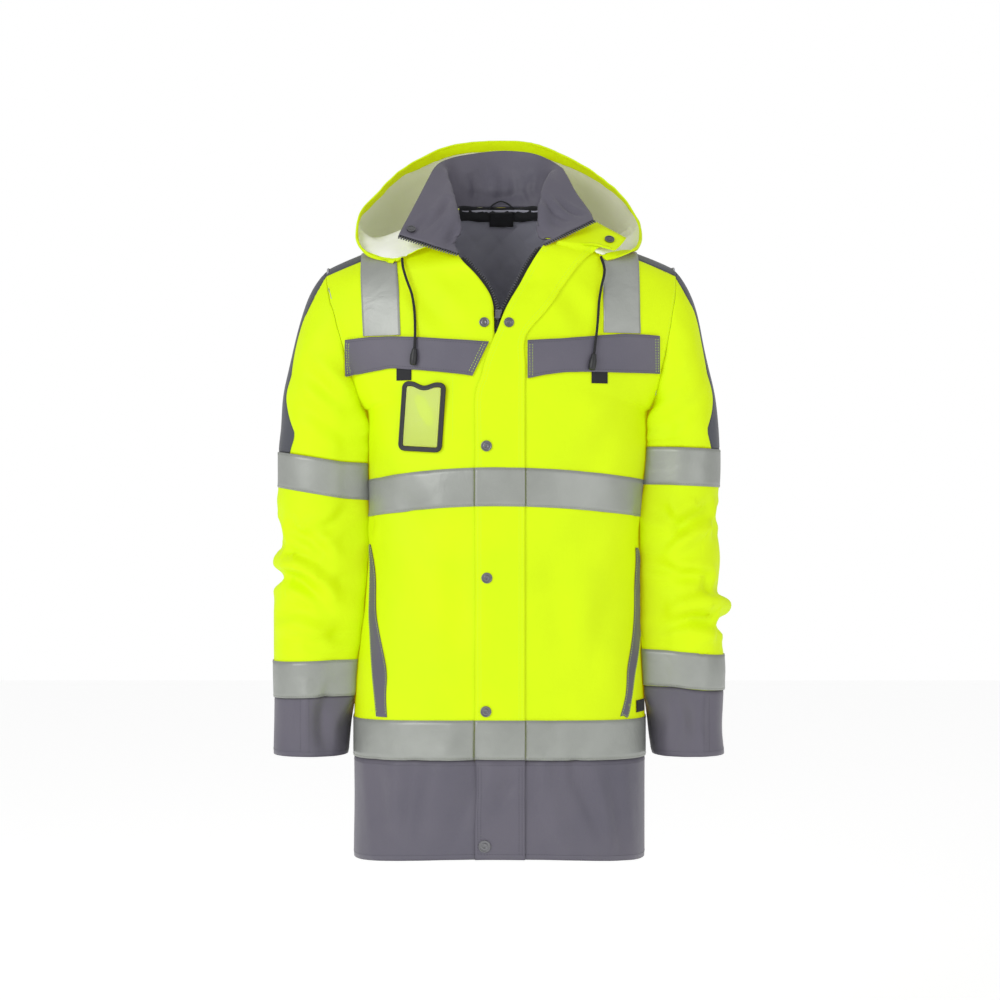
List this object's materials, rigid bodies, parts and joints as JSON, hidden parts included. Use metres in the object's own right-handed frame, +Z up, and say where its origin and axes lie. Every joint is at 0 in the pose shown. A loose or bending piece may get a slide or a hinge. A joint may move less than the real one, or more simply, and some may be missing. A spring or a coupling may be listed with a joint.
{
  "type": "hooded high-visibility work jacket",
  "caption": "Worn, hollow hooded high-visibility work jacket with reflective tape, grey hem, cuffs and shoulders, storm flap, pocket flaps and zip open to a V.",
  "frame": {"origin": "between the wearer's shoulders, level with the top of the shoulder seams, at mid depth of the body", "axes": "+X towards the wearer's left (right in the picture's view), +Y towards the back, +Z up along the body"},
  "size_m": [0.6281, 0.3098, 1.0032],
  "materials": {
    "metal": "satin",
    "plastic_black": "matt",
    "shell_grey": "matt coated weave",
    "shell_yellow": "matt fluorescent coated weave",
    "tape_silver": "satin reflective tape",
    "trim_black": "matt",
    "window_clear": "clear film, semi-gloss",
    "yoke_grey": "matt coated weave"
  },
  "bodies": {
    "jacket": {"back": "shell_yellow", "brace_left": "tape_silver", "brace_right": "tape_silver", "card_frame": "plastic_black", "card_window": "window_clear", "chest_tape": "tape_silver", "chest_tape_flap": "tape_silver", "collar": "shell_grey", "cord_end_left": "plastic_black", "cord_end_right": "plastic_black", "cord_left": "trim_black", "cord_right": "trim_black", "cuff_left": "shell_grey", "cuff_right": "shell_grey", "flap_tab_left": "trim_black", "flap_tab_right": "trim_black", "front_left": "shell_yellow", "front_right": "shell_yellow", "hanger_loop": "trim_black", "hem_back": "shell_grey", "hem_front_left": "shell_grey", "hem_front_right": "shell_grey", "hem_tape": "tape_silver", "hem_tape_flap": "tape_silver", "hood": "shell_yellow", "hood_rim": "shell_yellow", "lining_back": "shell_grey", "neck_label": "trim_black", "neck_tape": "trim_black", "overarm_left": "yoke_grey", "overarm_right": "yoke_grey", "pocket_flap_left": "shell_grey", "pocket_flap_right": "shell_grey", "pocket_placket_left": "shell_grey", "pocket_placket_right": "shell_grey", "side_label": "trim_black", "sleeve_band_lower_left": "tape_silver", "sleeve_band_lower_right": "tape_silver", "sleeve_band_upper_left": "tape_silver", "sleeve_band_upper_right": "tape_silver", "sleeve_lower_left": "shell_yellow", "sleeve_lower_right": "shell_yellow", "sleeve_upper_left": "shell_yellow", "sleeve_upper_right": "shell_yellow", "snap_chest": "metal", "snap_flap_neck": "metal", "snap_flap_tip": "metal", "snap_hem": "metal", "snap_hip": "metal", "snap_stud_collar": "metal", "snap_stud_neck": "metal", "snap_waist": "metal", "storm_flap": "shell_yellow", "storm_flap_hem": "shell_grey", "yoke_left": "yoke_grey", "yoke_right": "yoke_grey", "zip_slider": "metal", "zip_tape_left": "trim_black", "zip_tape_right": "trim_black"},
    "pull": {"zip_pull": "metal"}
  },
  "joints": [
    {"name": "pull_swing", "type": "hinge", "parent": "jacket", "child": "pull", "pos_m": [-0.0017, -0.1296, -0.1328], "axis": [-1, 0, 0], "range_deg": [0, 150]}
  ]
}
